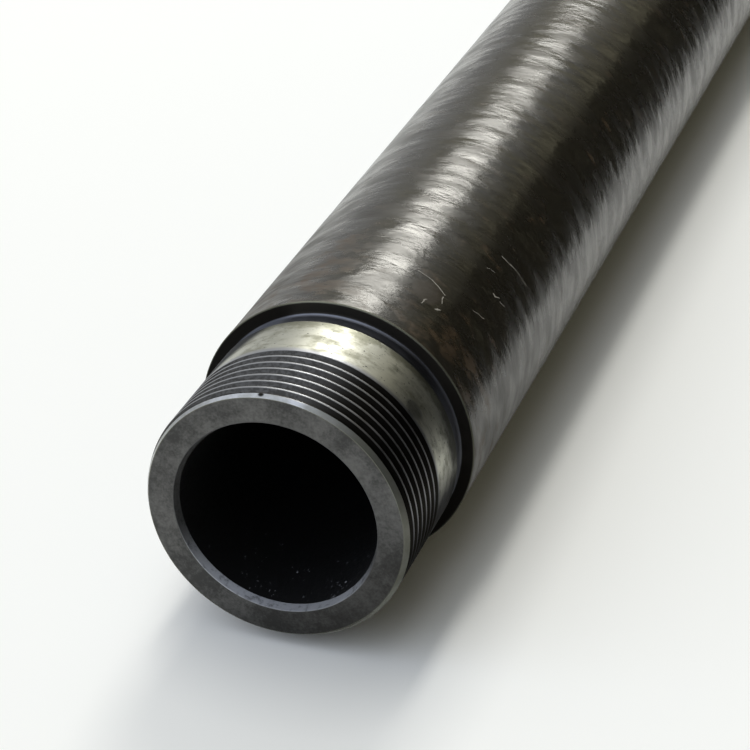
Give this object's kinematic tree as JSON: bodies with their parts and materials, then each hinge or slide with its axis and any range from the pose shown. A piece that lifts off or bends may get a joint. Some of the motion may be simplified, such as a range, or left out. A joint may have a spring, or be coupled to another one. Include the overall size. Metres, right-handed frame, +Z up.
{
  "type": "oil well tubing",
  "caption": "Short length of heavy-wall steel well tubing with a turned and threaded pin at one end, a plain cut at the other and an open bore, lying on its side.",
  "frame": {"origin": "centre of the underside of the tube's box, on the surface it lies on", "axes": "+Y along the tube's axis from the threaded pin to the plain end, +Z up, +X to the right seen from the pin"},
  "size_m": [0.073, 0.61, 0.0729],
  "materials": {
    "steel": "dark oiled mill scale on the tube, with a brighter machined pin"
  },
  "bodies": {
    "root": {"tubing": "steel"}
  },
  "joints": []
}
